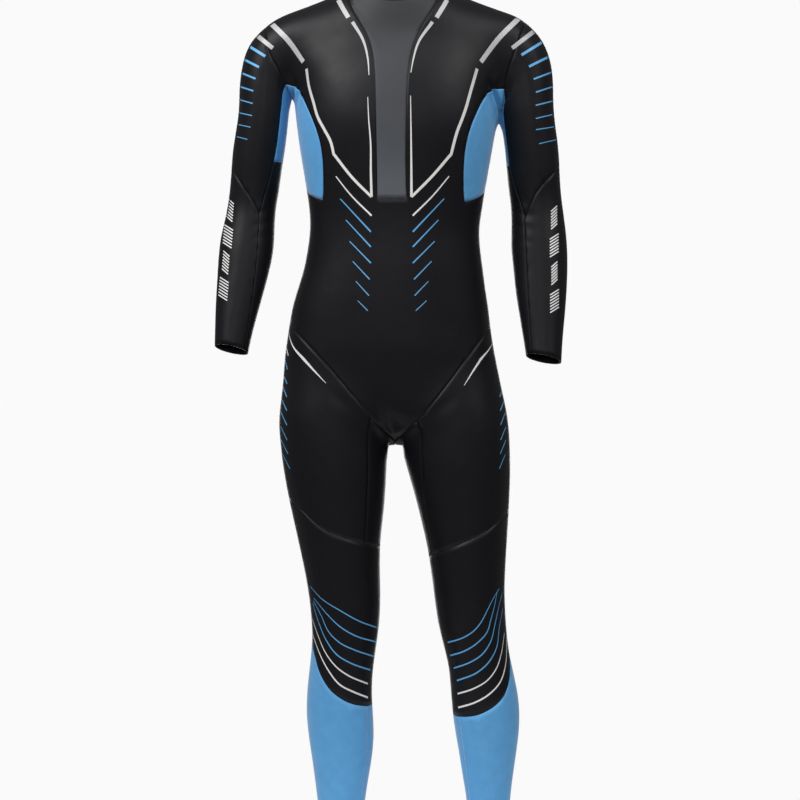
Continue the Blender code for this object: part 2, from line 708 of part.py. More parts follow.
def sew_front(right, left):
    """The grey chest strip with the front of the collar, and the black front body."""
    collar = chain(right["collar front"][::-1], left["collar front"])
    foot = seam([right["chest"][-1], left["chest"][-1]], STEPS["strip"])
    strip = patch(collar, foot, chain(right["collar split"], right["chest"]),
                  chain(left["collar split"], left["chest"]))
    panel("chest_strip", [strip], BODY_WALL, GREY)
    chests = []
    for cut in (right, left):
        chests.append(patch(cut["shoulder"], cut["chest foot"], chain(cut["neck front"][::-1], cut["chest"]),
                            chain(cut["armhole"], cut["side edge"])))
    top = chain(right["side foot"][::-1], right["chest foot"][::-1], foot, left["chest foot"],
                left["side foot"])
    bottom = chain(right["hip"], right["fork"], left["fork"][::-1], left["hip"][::-1])
    panel("front_body", chests + [patch(top, bottom, right["side seam"], left["side seam"])],
          BODY_WALL, BLACK)


def sew_back(right, left):
    """The two upper back panels, which the zip parts, and the lower back with the seat."""
    for side, cut in (("right", right), ("left", left)):
        back = patch(cut["shoulder"], cut["back foot"], chain(cut["neck back"], cut["back zip"]),
                     chain(cut["armhole back"], cut["side edge back"]))
        panel("back_" + side, [back], BODY_WALL, BLACK)
    foot = seam([right["back zip"][-1], behind(0, ZIP_FOOT), left["back zip"][-1]], 2)
    top = chain(right["side foot back"], right["back foot"][::-1], foot, left["back foot"],
                left["side foot back"][::-1])
    bottom = chain(right["seat"], right["fork back"][::-1], left["fork back"], left["seat"][::-1])
    panel("lower_back", [patch(top, bottom, right["side seam"], left["side seam"])], BODY_WALL, BLACK)


def sew_side(side, cut):
    """The blue side panel and the back of the collar."""
    flank = patch(chain(cut["armpit"], cut["armpit back"]), chain(cut["side foot"], cut["side foot back"]),
                  cut["side edge"], cut["side edge back"], ARMPIT_EASING[side])
    panel("side_panel_" + side, [flank], SLEEVE_WALL, BLUE)
    collar = patch(cut["collar back"], chain(cut["neck front"], cut["neck back"]), cut["collar split"],
                   cut["collar zip"])
    panel("collar_" + side, [collar], COLLAR_WALL, BLACK)


def sew_sleeve(side, cut):
    """Upper sleeve, underarm gusset, outer forearm and inner forearm."""
    upper = patch(chain(cut["armhole"][::-1], cut["armhole back"]), cut["elbow seam"],
                  chain(cut["gusset"], cut["elbow"]), chain(cut["gusset back"], cut["elbow back"]))
    panel("sleeve_upper_" + side, [upper], SLEEVE_WALL, BLACK)
    gusset = patch(chain(cut["armpit"], cut["armpit back"]), cut["gusset foot"], cut["gusset"],
                   cut["gusset back"], ARMPIT_EASING[side])
    panel("sleeve_gusset_" + side, [gusset], SLEEVE_WALL, BLUE)
    outer = patch(cut["elbow seam"], cut["cuff outer"], cut["forearm"], cut["forearm back"])
    panel("forearm_outer_" + side, [outer], SLEEVE_WALL, BLACK)
    inner = patch(cut["gusset foot"], cut["cuff inner"], chain(cut["elbow"], cut["forearm"]),
                  chain(cut["elbow back"], cut["forearm back"]))
    panel("forearm_inner_" + side, [inner], SLEEVE_WALL, BLACK)


def sew_leg(side, cut):
    """Front, inner and back thigh, knee, and the two blue calf panels."""
    front = patch(cut["hip"], cut["knee top"], cut["outer thigh"], cut["inner thigh"])
    panel("thigh_front_" + side, [front], BODY_WALL, BLACK)
    inner = patch(chain(cut["fork"], cut["crotch"], cut["fork back"]), cut["knee top inner"],
                  cut["inner thigh"], cut["inner thigh back"])
    panel("thigh_inner_" + side, [inner], BODY_WALL, BLACK)
    calf_back = chain(cut["calf top outer back"], cut["calf top inner back"])
    back = patch(cut["seat"], calf_back, chain(cut["outer thigh"], cut["outer knee"]),
                 chain(cut["inner thigh back"], cut["inner knee back"]))
    panel("thigh_back_" + side, [back], BODY_WALL, BLACK)
    knee = patch(chain(cut["knee top"], cut["knee top inner"]), chain(cut["calf top"], cut["calf top inner"]),
                 cut["outer knee"], cut["inner knee back"])
    panel("knee_" + side, [knee], BODY_WALL, BLACK)
    outer = patch(chain(cut["calf top"][::-1], cut["calf top outer back"]), cut["hem outer"],
                  cut["calf seam"], cut["calf back seam"])
    panel("calf_outer_" + side, [outer], BODY_WALL, BLUE)
    inner = patch(chain(cut["calf top inner"], cut["calf top inner back"][::-1]), cut["hem inner"],
                  cut["calf seam"], cut["calf back seam"])
    panel("calf_inner_" + side, [inner], BODY_WALL, BLUE)


def zip_strips(right, left):
    """Two tapes and the closed coil between the back panels; returns the coil's middle line."""
    edges = {"right": chain(right["collar zip"], right["back zip"]),
             "left": chain(left["collar zip"], left["back zip"])}
    middle = settle((edges["right"] + edges["left"]) / 2)
    for side, edge in edges.items():
        panel("zip_tape_" + side, [np.stack([edge, middle], 1)], TAPE_WALL, TAPE, TAPE_SINK)
    half = np.array([COIL_HALF_WIDTH + SEAM_GAP / 2, 0, 0])
    coil = np.stack([middle - half, middle, middle + half], 1)
    panel("zip_coil", [coil], COIL_WALL, TAPE, -COIL_TOP)
    return middle


def block(name, size, centre, material):
    mesh = bmesh.new()
    bmesh.ops.create_cube(mesh, size=1)
    bmesh.ops.scale(mesh, vec=Vector(size) * MM, verts=mesh.verts)
    bmesh.ops.translate(mesh, vec=Vector(centre) * MM, verts=mesh.verts)
    return add_object(name, mesh, material)


def combine(piece, other, operation):
    change = piece.modifiers.new(operation, "BOOLEAN")
    change.operation = operation
    change.solver = "EXACT"
    change.object = other
    other.hide_render = True
    other.display_type = "WIRE"


def zip_slider(middle):
    """A slider with a bridge, near the top of the closed zip, and the pull tab hinged under its bridge."""
    spot = np.nonzero(middle[:, 2] < SLIDER_UP)[0][0]
    run = middle[spot - 1] - middle[spot]
    place = middle[spot] + run * (SLIDER_UP - middle[spot, 2]) / run[2]
    up = Vector(run).normalized()
    out = Vector(normals(place[None])[0])
    out = (out - up * up.dot(out)).normalized()
    stand = bpy.data.objects.new("zip_slider_place", None)
    bpy.context.collection.objects.link(stand)
    turn = np.array([up.cross(out), up, out]).T
    stand.matrix_world = Matrix([[*turn[row], place[row] * MM] for row in range(3)] + [[0, 0, 0, 1]])

    # Local axes of the slider: x across, y up the zip, z out of the cloth
    height = SLIDER_TOP - SLIDER_FOOT
    slider = block("zip_slider", (2 * SLIDER_HALF_WIDTH, SLIDER_LENGTH, height),
                   (0, 0, SLIDER_FOOT + height / 2), METAL)
    channel_height = CHANNEL_TOP - SLIDER_FOOT + 1
    channel = block("zip_channel_cutter", (2 * CHANNEL_HALF_WIDTH, SLIDER_LENGTH + 2, channel_height),
                    (0, 0, CHANNEL_TOP - channel_height / 2), METAL)
    bridge_length = 2 * (BRIDGE_HALF_OPENING + BRIDGE_BAR)
    bridge_top = 2 * HINGE_HEIGHT - SLIDER_TOP + BRIDGE_BAR
    bridge_foot = SLIDER_TOP - 0.6
    bridge = block("zip_bridge_cutter", (BRIDGE_WIDTH, bridge_length, bridge_top - bridge_foot),
                   (0, 0, (bridge_top + bridge_foot) / 2), METAL)
    opening = 2 * (HINGE_HEIGHT - SLIDER_TOP)
    bridge_window = block("zip_bridge_window", (BRIDGE_WIDTH + 2, 2 * BRIDGE_HALF_OPENING, opening),
                          (0, 0, HINGE_HEIGHT), METAL)
    combine(slider, channel, "DIFFERENCE")
    combine(slider, bridge, "UNION")
    combine(bridge, bridge_window, "DIFFERENCE")

    tab = block("pull_tab", (TAB_WIDTH, TAB_LENGTH, TAB_WALL), (0, TAB_WALL / 2 - TAB_LENGTH / 2, 0), METAL)
    window = block("pull_tab_window", (TAB_WINDOW[0], TAB_WINDOW[1], TAB_WALL + 2),
                   (0, -TAB_WALL / 2 - TAB_WINDOW[1] / 2, 0), METAL)
    combine(tab, window, "DIFFERENCE")
    for piece in (slider, channel, bridge, bridge_window):
        piece.parent = stand
    for piece in (tab, window):
        piece.parent = stand
        piece.location = (0, 0, HINGE_HEIGHT * MM)


seams = {}
for side in SIGN:
    seams[side] = cut_collar_and_body(side)
    cut_hips_and_leg(side, seams[side])
    cut_sleeve(side, seams[side])
    sew_side(side, seams[side])
    sew_sleeve(side, seams[side])
    sew_leg(side, seams[side])
sew_front(seams["right"], seams["left"])
sew_back(seams["right"], seams["left"])
zip_slider(zip_strips(seams["right"], seams["left"]))
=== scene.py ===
"""The looks of a long-sleeved triathlon wetsuit, filled out as when it is worn.

The sections follow the suit as it is made: the glued skin with its creases, the panels cut from each cloth,
the back zip, the printed lines, and then the studio.  Sizes are in millimetres until a mesh is made.
"""
import math

import bmesh
import bpy
import numpy as np
from mathutils import Matrix, Vector
from mathutils.bvhtree import BVHTree


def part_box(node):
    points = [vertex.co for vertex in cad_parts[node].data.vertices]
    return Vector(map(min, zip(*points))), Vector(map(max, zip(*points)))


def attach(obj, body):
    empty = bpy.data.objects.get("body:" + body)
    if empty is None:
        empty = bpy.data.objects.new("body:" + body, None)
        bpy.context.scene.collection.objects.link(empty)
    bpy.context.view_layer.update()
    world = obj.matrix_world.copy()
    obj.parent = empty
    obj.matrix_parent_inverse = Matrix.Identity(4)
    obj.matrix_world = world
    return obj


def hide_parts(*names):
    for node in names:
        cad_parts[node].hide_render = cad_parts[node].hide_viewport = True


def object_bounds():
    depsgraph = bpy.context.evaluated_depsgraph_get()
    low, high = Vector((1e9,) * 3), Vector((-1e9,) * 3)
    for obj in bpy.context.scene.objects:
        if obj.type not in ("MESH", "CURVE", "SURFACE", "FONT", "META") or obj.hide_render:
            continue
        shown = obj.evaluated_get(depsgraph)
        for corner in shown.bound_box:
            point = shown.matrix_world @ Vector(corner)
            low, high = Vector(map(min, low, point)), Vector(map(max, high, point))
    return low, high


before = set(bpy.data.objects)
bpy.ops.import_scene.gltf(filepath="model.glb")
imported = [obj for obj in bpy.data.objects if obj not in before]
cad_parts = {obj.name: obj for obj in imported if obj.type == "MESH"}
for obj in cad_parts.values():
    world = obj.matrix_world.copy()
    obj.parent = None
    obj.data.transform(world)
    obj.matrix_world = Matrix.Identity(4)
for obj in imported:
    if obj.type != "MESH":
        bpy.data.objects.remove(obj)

cad_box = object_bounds()

# The glued skin.  Rubber panels are butted edge to edge, so the suit is one smooth skin before it is a set of
# panels.  The outer faces of all the panels are welded here, rounded as one, and given their creases.  Each
# panel is then cut out of this skin along its own seams.
MM = 0.001
PANEL_NAMES = [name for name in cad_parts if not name.startswith(("zip", "pull"))]
TUBES = (("sleeve_upper", "sleeve_gusset"), ("forearm_outer", "forearm_inner"), ("knee",),
         ("thigh_front", "thigh_inner", "thigh_back"), ("calf_outer", "calf_inner"))
TRUNK_MIDDLE = Vector((0, 5, 0))
SAME_POINT = 0.02
JUST_INSIDE = 0.05
THICKEST_WALL = 6
CUT_EDGE_TURN = math.radians(50)
JOINED_TURN = math.radians(40)
JOINED_CORNER = math.radians(70)
WELD_REACHES = (0.75, 3)
LARGEST_CORNER = 16
SKIN_ROUNDING = 2


def tube_middle(name):
    """A point inside the sleeve, leg or trunk that a panel goes round."""
    kind, _, side = name.rpartition("_")
    for kinds in TUBES:
        if kind in kinds:
            corners = [Vector(corner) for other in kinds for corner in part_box(other + "_" + side)]
            low = Vector([min(corner[axis] for corner in corners) for axis in range(3)])
            high = Vector([max(corner[axis] for corner in corners) for axis in range(3)])
            return (low + high) / 2
    return TRUNK_MIDDLE * MM


def outer_face(name):
    """The outer face of a panel's solid, without its cut edge and its inner face."""
    sheet = bmesh.new()
    sheet.from_mesh(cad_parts[name].data)
    bmesh.ops.remove_doubles(sheet, verts=sheet.verts, dist=SAME_POINT * MM)
    sheet.normal_update()
    solid = BVHTree.FromBMesh(sheet)
    left = set()
    for face in sheet.faces:
        inside = face.calc_center_median() - face.normal * JUST_INSIDE * MM
        behind = solid.ray_cast(inside, -face.normal, THICKEST_WALL * MM)
        if behind[0] is not None:
            left.add(face)
    sides = []
    while left:
        side, rim = set(), [left.pop()]
        while rim:
            face = rim.pop()
            side.add(face)
            for edge in face.edges:
                for other in edge.link_faces:
                    if other in left and other.normal.angle(face.normal, 0) < CUT_EDGE_TURN:
                        left.discard(other)
                        rim.append(other)
        sides.append(side)
    two_sides = sorted(sides, key=lambda side: sum(face.calc_area() for face in side))[-2:]
    middle = tube_middle(name).xy
    outer = max(two_sides, key=lambda side: np.mean([(face.calc_center_median().xy - middle).length
                                                     for face in side]))
    bmesh.ops.delete(sheet, geom=[face for face in sheet.faces if face not in outer], context="FACES")
    bmesh.ops.join_triangles(sheet, faces=sheet.faces, angle_face_threshold=JOINED_TURN,
                             angle_shape_threshold=JOINED_CORNER)
    return sheet


def weld_skin():
    """All the outer faces as one surface; a face's material index says which panel it belongs to.

    The small corner that is left where three or four panels meet is closed.
    """
    skin = bmesh.new()
    for number, name in enumerate(PANEL_NAMES):
        sheet = outer_face(name)
        for face in sheet.faces:
            face.material_index = number
            face.smooth = True
        data = bpy.data.meshes.new("sheet")
        sheet.to_mesh(data)
        sheet.free()
        skin.from_mesh(data)
        bpy.data.meshes.remove(data)
    for reach in WELD_REACHES:
        open_verts = [vert for vert in skin.verts if vert.is_boundary]
        bmesh.ops.remove_doubles(skin, verts=open_verts, dist=reach * MM)
    open_edges = [edge for edge in skin.edges if edge.is_boundary]
    corners = bmesh.ops.holes_fill(skin, edges=open_edges, sides=LARGEST_CORNER)["faces"]
    for face in corners:
        beside = [other for edge in face.edges for other in edge.link_faces if other not in corners]
        face.material_index = beside[0].material_index
        face.smooth = True
    bmesh.ops.recalc_face_normals(skin, faces=skin.faces)
    return skin


def round_off(rough, levels):
    """The mesh of a rough surface after Catmull-Clark rounding."""
    data = bpy.data.meshes.new("rough")
    rough.to_mesh(data)
    rough.free()
    holder = bpy.data.objects.new("rough", data)
    bpy.context.collection.objects.link(holder)
    rounding = holder.modifiers.new("rounding", "SUBSURF")
    rounding.levels = rounding.render_levels = levels
    rounding.boundary_smooth = "ALL"
    fine = bmesh.new()
    fine.from_object(holder, bpy.context.evaluated_depsgraph_get())
    bpy.data.objects.remove(holder)
    bpy.data.meshes.remove(data)
    return fine


skin = round_off(weld_skin(), SKIN_ROUNDING)

# A seam's line is straightened along itself, as a cut edge is, and stays on the skin.  The corners of panels
# stay as they are cut.
SEAM_EASING = 12
CORNER_STEPS = 4
CORNER_TURN = math.radians(48)


def ease_seams():
    """Each point of a seam is drawn towards the middle of its two neighbours, and put back on the skin."""
    skin_before = BVHTree.FromBMesh(skin)
    beside = {}
    for edge in skin.edges:
        faces = edge.link_faces
        if len(faces) == 2 and faces[0].material_index != faces[1].material_index:
            for vert in edge.verts:
                beside.setdefault(vert, []).append(edge.other_vert(vert))
    chains = {}
    for vert, ends in beside.items():
        if len(ends) != 2 or vert.is_boundary:
            continue
        ways = []
        for ahead in ends:
            last = vert
            for _ in range(CORNER_STEPS - 1):
                if len(beside[ahead]) != 2:
                    break
                onward = [other for other in beside[ahead] if other is not last]
                last, ahead = ahead, onward[0]
            ways.append(ahead.co - vert.co)
        if math.pi - ways[0].angle(ways[1], 0) < CORNER_TURN:
            chains[vert] = ends
    for _ in range(SEAM_EASING):
        eased = [vert.co * 0.5 + (ends[0].co + ends[1].co) * 0.25 for vert, ends in chains.items()]
        for vert, place in zip(chains, eased):
            vert.co = place
    for vert in chains:
        vert.co = skin_before.find_nearest(vert.co)[0]


ease_seams()

# The crotch is a flat saddle between the thighs, not a peak: what hangs below the saddle's middle is taken up.
SADDLE_MIDDLE = 1
SADDLE_HALF_WIDTH = 13
SADDLE_FRONT, SADDLE_BACK = -45, 75
SADDLE_LOWEST, SADDLE_HIGHEST = -745, -680
BELOW_SADDLE = -760
SADDLE_DROP = 3
SADDLE_REACH = 24


def flatten_saddle():
    """Every point near the middle is lifted to the height of the saddle's own middle line."""
    skin.normal_update()
    skin_before = BVHTree.FromBMesh(skin)
    for vert in skin.verts:
        across, along, up = vert.co / MM
        aside = abs(across - SADDLE_MIDDLE)
        if (aside > SADDLE_HALF_WIDTH or not SADDLE_FRONT < along < SADDLE_BACK
                or not SADDLE_LOWEST < up < SADDLE_HIGHEST):
            continue
        below = Vector((SADDLE_MIDDLE, along, BELOW_SADDLE)) * MM
        middle = skin_before.ray_cast(below, Vector((0, 0, 1)))[0]
        if middle is None:
            continue
        level = middle.z / MM - SADDLE_DROP * (aside / SADDLE_HALF_WIDTH) ** 4
        if level - SADDLE_REACH < up < level:
            vert.co.z = level * MM


flatten_saddle()

# Creases of the skin: where a crease starts and ends, how wide it is, and how deep.  A crease is a soft trough
# between two low ridges, and it fades at both ends.  They lie where filled-out rubber is pushed together.
CREASES = (
    # start, end, width, depth
    ((-176, -45, -112), (-158, -38, -168), 7, 1.4),
    ((-180, -40, -132), (-169, -22, -172), 5, 1.2),
    ((-166, -20, -150), (-157, -30, -190), 5, 0.9),
    ((-156, -36, -134), (-163, -12, -160), 4.5, 3.2),
    ((-150, -42, -142), (-158, -22, -172), 6, 1.8),
    ((178, -45, -108), (160, -42, -168), 7, 2.0),
    ((170, -50, -104), (150, -58, -150), 6, 1.5),
    ((184, -38, -138), (166, -26, -185), 5, 1.3),
    ((150, -47, -136), (167, -15, -184), 4.5, 7.0),
    ((175, -26, -156), (168, -15, -184), 4, 4.2),
    ((144, -50, -150), (160, -30, -206), 7, 1.6),
    ((-172, 60, -110), (-150, 66, -170), 8, 1.6),
    ((-160, 62, -96), (-136, 78, -140), 7, 1.1),
    ((174, 58, -112), (148, 68, -176), 8, 1.8),
    ((162, 62, -92), (132, 82, -138), 6, 1.2),
    ((-196, -24, -338), (-222, -34, -346), 6, 1.2),
    ((-199, -12, -352), (-230, -34, -366), 6, 1.5),
    ((-206, -16, -376), (-228, -32, -384), 5, 0.9),
    ((196, -18, -342), (224, -30, -350), 6, 1.3),
    ((192, -8, -360), (228, -32, -372), 6, 1.4),
    ((198, -14, -386), (222, -34, -392), 5, 0.8),
    ((-104, 80, -372), (-36, 92, -388), 10, 1.4),
    ((26, 92, -380), (110, 76, -362), 10, 1.6),
    ((-88, 86, -412), (-22, 98, -422), 9, 1.0),
    ((34, 98, -426), (92, 88, -408), 9, 0.9),
    ((-60, -84, -664), (-102, -92, -626), 9, 1.1),
    ((56, -84, -668), (98, -92, -632), 9, 1.2),
    ((-54, 84, -700), (-140, 92, -716), 9, 1.8),
    ((50, 84, -704), (136, 92, -712), 9, 1.7),
    ((-66, 92, -728), (-120, 94, -738), 8, 1.0),
    ((-118, 56, -1024), (-58, 58, -1032), 8, 1.7),
    ((-112, 58, -1056), (-62, 60, -1048), 7, 1.3),
    ((-108, 52, -992), (-70, 54, -1000), 7, 0.9),
    ((108, 54, -1030), (166, 54, -1020), 8, 1.6),
    ((112, 58, -1052), (160, 58, -1060), 7, 1.3),
    ((116, 52, -998), (156, 50, -990), 7, 0.9),
    ((-110, -20, -1322), (-70, -30, -1330), 6, 0.7),
    ((124, -10, -1326), (166, -22, -1318), 6, 0.7),
)
RIDGE_SHARE = 0.45
RIDGE_OUT = 1.7
CREASE_REACH = 4
CREASE_SAME_SIDE = 0.1
CREASE_END = 0.05
CREASE_FADE = 0.8
# The folds under the arms are tight, so the mesh is made finer round them.
TIGHT_FOLDS = ((165, -30, -160), (-160, -25, -150))
TIGHT_REACH = 34


def press_creases():
    """Each crease moves only the points that are near its line and on its own side of the cloth."""
    for place in TIGHT_FOLDS:
        middle = Vector(place) * MM
        near = [edge for edge in skin.edges
                if all((vert.co - middle).length < TIGHT_REACH * MM for vert in edge.verts)]
        bmesh.ops.subdivide_edges(skin, edges=near, cuts=1, smooth=0.6, use_grid_fill=True)
    skin.normal_update()
    tree = BVHTree.FromBMesh(skin)
    places = np.array([vert.co for vert in skin.verts]) / MM
    outward = np.array([vert.normal for vert in skin.verts])
    lift = np.zeros(len(places))
    for start, end, width, depth in CREASES:
        ends = [tree.find_nearest(Vector(place) * MM) for place in (start, end)]
        first, last = [np.array(found[0]) / MM for found in ends]
        facing = np.array(ends[0][1] + ends[1][1])
        run = last - first
        along = (places - first) @ run / (run @ run)
        aside = np.linalg.norm(places - first - np.clip(along, 0, 1)[:, None] * run, axis=1)
        fade = np.sin(np.clip(along * (1 - 2 * CREASE_END) + CREASE_END, 0, 1) * math.pi) ** CREASE_FADE
        fade *= (outward @ facing > CREASE_SAME_SIDE) & (aside < CREASE_REACH * width)
        trough = np.exp(-(aside / width) ** 2)
        ridge = np.exp(-((aside - RIDGE_OUT * width) / width) ** 2)
        lift += fade * depth * (RIDGE_SHARE * ridge - trough)
    for vert, amount in zip(skin.verts, lift):
        vert.co += vert.normal * amount * MM
    skin.normal_update()


press_creases()
skin.verts.index_update()
skin_tree = BVHTree.FromBMesh(skin)

# A cut panel.  Its edge is drawn in a little and set down, as glue and blind stitching pull a butted seam
# together, and the rubber has its real thickness inwards.  Neck, cuffs and hems are plain cut edges.
SEAM_HALF_GAP = 0.04
SEAM_DEPTH = 0.22
BODY_WALL = 3
SLEEVE_WALL = 2
seam_points = {vert.index for vert in skin.verts
               if not vert.is_boundary and len({face.material_index for face in vert.link_faces}) > 1}


def add_piece(name, mesh, material, body, smooth=True):
    """A finished mesh as an object that rides on a body."""
    for face in mesh.faces:
        face.material_index = 0
        face.smooth = smooth
    data = bpy.data.meshes.new(name)
    mesh.to_mesh(data)
    mesh.free()
    data.materials.append(material)
    piece = bpy.data.objects.new(name, data)
    bpy.context.collection.objects.link(piece)
    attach(piece, body)
    return piece


def cut_panel(name, wall, material):
    """One panel cut from the skin: its seam edge drawn in and set down, and its wall laid inwards."""
    number = PANEL_NAMES.index(name)
    panel = skin.copy()
    bmesh.ops.delete(panel, geom=[face for face in panel.faces if face.material_index != number],
                     context="FACES")
    moves = {}
    for vert in panel.verts:
        if vert.index not in seam_points:
            continue
        inside = [edge.other_vert(vert).co for edge in vert.link_edges if not edge.is_boundary]
        way = Vector()
        if inside:
            way = sum(inside, Vector()) / len(inside) - vert.co
            way -= vert.normal * way.dot(vert.normal)
            way.normalize()
        moves[vert] = way * SEAM_HALF_GAP * MM - vert.normal * SEAM_DEPTH * MM
    for vert, move in moves.items():
        vert.co += move
    piece = add_piece(name + "_cloth", panel, material, "suit")
    thickness = piece.modifiers.new("thickness", "SOLIDIFY")
    thickness.thickness = wall * MM
    thickness.offset = -1
    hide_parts(name)


# Smooth black rubber: closed-cell neoprene with its skin left on.  It is cast against a smooth plate, so it has
# a satin face with very fine pores and slow, shallow waves.  It makes the body, most of the sleeves and legs.
BLACK_PANELS = {
    # panel: wall, flat width, flat length, share of that rectangle that is cut
    "front_body": (BODY_WALL, 0.46, 0.74, 0.62),
    "back_right": (BODY_WALL, 0.22, 0.45, 0.62),
    "back_left": (BODY_WALL, 0.22, 0.45, 0.62),
    "lower_back": (BODY_WALL, 0.38, 0.42, 0.64),
    "collar_right": (SLEEVE_WALL, 0.14, 0.07, 0.60),
    "collar_left": (SLEEVE_WALL, 0.14, 0.07, 0.60),
}


def new_finish(name):
    """A new material, with its nodes, its links and its shader."""
    material = bpy.data.materials.new(name)
    material.use_nodes = True
    tree = material.node_tree
    return material, tree.nodes, tree.links, tree.nodes["Principled BSDF"]


def smooth_rubber():
    material, nodes, links, shader = new_finish("smooth black rubber")
    shader.inputs["Base Color"].default_value = (0.0066, 0.0066, 0.0082, 1)
    shader.inputs["Specular IOR Level"].default_value = 0.15
    place = nodes.new("ShaderNodeTexCoord")
    waves = nodes.new("ShaderNodeTexNoise")
    waves.inputs["Scale"].default_value = 26
    waves.inputs["Detail"].default_value = 3
    satin = nodes.new("ShaderNodeMapRange")
    satin.inputs["To Min"].default_value = 0.38
    satin.inputs["To Max"].default_value = 0.52
    pores = nodes.new("ShaderNodeTexNoise")
    pores.inputs["Scale"].default_value = 900
    pores.inputs["Detail"].default_value = 2
    broad = nodes.new("ShaderNodeBump")
    broad.inputs["Strength"].default_value = 0.12
    broad.inputs["Distance"].default_value = 0.004
    fine = nodes.new("ShaderNodeBump")
    fine.inputs["Strength"].default_value = 0.10
    fine.inputs["Distance"].default_value = 0.0002
    links.new(place.outputs["Object"], waves.inputs["Vector"])
    links.new(place.outputs["Object"], pores.inputs["Vector"])
    links.new(waves.outputs["Fac"], satin.inputs["Value"])
    links.new(satin.outputs["Result"], shader.inputs["Roughness"])
    links.new(waves.outputs["Fac"], broad.inputs["Height"])
    links.new(pores.outputs["Fac"], fine.inputs["Height"])
    links.new(broad.outputs["Normal"], fine.inputs["Normal"])
    links.new(fine.outputs["Normal"], shader.inputs["Normal"])
    return material


black_rubber = smooth_rubber()
for side in ("right", "left"):
    BLACK_PANELS["sleeve_upper_" + side] = (SLEEVE_WALL, 0.22, 0.33, 0.68)
    BLACK_PANELS["forearm_outer_" + side] = (SLEEVE_WALL, 0.19, 0.33, 0.75)
    BLACK_PANELS["forearm_inner_" + side] = (SLEEVE_WALL, 0.11, 0.32, 0.66)
    BLACK_PANELS["thigh_front_" + side] = (BODY_WALL, 0.21, 0.40, 0.70)
    BLACK_PANELS["thigh_inner_" + side] = (BODY_WALL, 0.19, 0.23, 0.61)
    BLACK_PANELS["thigh_back_" + side] = (BODY_WALL, 0.21, 0.61, 0.58)
    BLACK_PANELS["knee_" + side] = (BODY_WALL, 0.26, 0.34, 0.71)
for name, (wall, width, length, share) in BLACK_PANELS.items():
    cut_panel(name, wall, black_rubber)

# Blue jersey: thin neoprene faced with a fine knit, which stretches more than bare rubber.  It is sewn in where
# the arms lift, at the flanks and under the arms, and round the calves.
BLUE_PANELS = {
    # panel: wall, flat width, flat length, share of that rectangle that is cut
    "side_panel": (SLEEVE_WALL, 0.20, 0.21, 0.64),
    "sleeve_gusset": (SLEEVE_WALL, 0.09, 0.13, 0.60),
    "calf_outer": (BODY_WALL, 0.23, 0.37, 0.70),
    "calf_inner": (BODY_WALL, 0.13, 0.35, 0.58),
}


def knit_jersey():
    material, nodes, links, shader = new_finish("blue jersey")
    shader.inputs["Roughness"].default_value = 0.62
    shader.inputs["Sheen Weight"].default_value = 0.35
    shader.inputs["Sheen Roughness"].default_value = 0.4
    place = nodes.new("ShaderNodeTexCoord")
    patches = nodes.new("ShaderNodeTexNoise")
    patches.inputs["Scale"].default_value = 60
    patches.inputs["Detail"].default_value = 4
    shades = nodes.new("ShaderNodeValToRGB")
    shades.color_ramp.elements[0].position = 0.3
    shades.color_ramp.elements[0].color = (0.074, 0.300, 0.590, 1)
    shades.color_ramp.elements[1].position = 0.7
    shades.color_ramp.elements[1].color = (0.086, 0.330, 0.635, 1)
    wales = nodes.new("ShaderNodeTexWave")
    wales.bands_direction = "X"
    wales.inputs["Scale"].default_value = 260
    wales.inputs["Distortion"].default_value = 0.6
    courses = nodes.new("ShaderNodeTexWave")
    courses.bands_direction = "Z"
    courses.inputs["Scale"].default_value = 340
    courses.inputs["Distortion"].default_value = 0.6
    loops = nodes.new("ShaderNodeMath")
    loops.operation = "ADD"
    knit = nodes.new("ShaderNodeBump")
    knit.inputs["Strength"].default_value = 0.28
    knit.inputs["Distance"].default_value = 0.0003
    for texture in (patches, wales, courses):
        links.new(place.outputs["Object"], texture.inputs["Vector"])
    links.new(patches.outputs["Fac"], shades.inputs["Fac"])
    links.new(shades.outputs["Color"], shader.inputs["Base Color"])
    links.new(wales.outputs["Fac"], loops.inputs[0])
    links.new(courses.outputs["Fac"], loops.inputs[1])
    links.new(loops.outputs["Value"], knit.inputs["Height"])
    links.new(knit.outputs["Normal"], shader.inputs["Normal"])
    return material


blue_jersey = knit_jersey()
for side in ("right", "left"):
    for name, (wall, width, length, share) in BLUE_PANELS.items():
        cut_panel(name + "_" + side, wall, blue_jersey)


def matte_rubber():
    material, nodes, links, shader = new_finish("grey rubber")
    shader.inputs["Roughness"].default_value = 0.58
    shader.inputs["Specular IOR Level"].default_value = 0.3
    place = nodes.new("ShaderNodeTexCoord")
    # The grey follows the height: it darkens towards the collar's top, which is painted shade, and grows paler
    # down the strip, which is painted light.
    apart = nodes.new("ShaderNodeSeparateXYZ")
    height = nodes.new("ShaderNodeMapRange")
    height.inputs["From Min"].default_value = -0.30
    height.inputs["From Max"].default_value = -0.02
    painted_shade_tones = nodes.new("ShaderNodeValToRGB")
    painted_shade_tones.color_ramp.elements[0].color = (0.086, 0.093, 0.106, 1)
    painted_shade_tones.color_ramp.elements[1].color = (0.018, 0.0195, 0.022, 1)
    painted_shade_tones.color_ramp.elements.new(0.45).color = (0.034, 0.037, 0.042, 1)
    grain = nodes.new("ShaderNodeTexNoise")
    grain.inputs["Scale"].default_value = 1100
    face = nodes.new("ShaderNodeBump")
    face.inputs["Strength"].default_value = 0.15
    face.inputs["Distance"].default_value = 0.0002
    links.new(place.outputs["Object"], apart.inputs["Vector"])
    links.new(place.outputs["Object"], grain.inputs["Vector"])
    links.new(apart.outputs["Z"], height.inputs["Value"])
    links.new(height.outputs["Result"], painted_shade_tones.inputs["Fac"])
    links.new(painted_shade_tones.outputs["Color"], shader.inputs["Base Color"])
    links.new(grain.outputs["Fac"], face.inputs["Height"])
    links.new(face.outputs["Normal"], shader.inputs["Normal"])
    return material


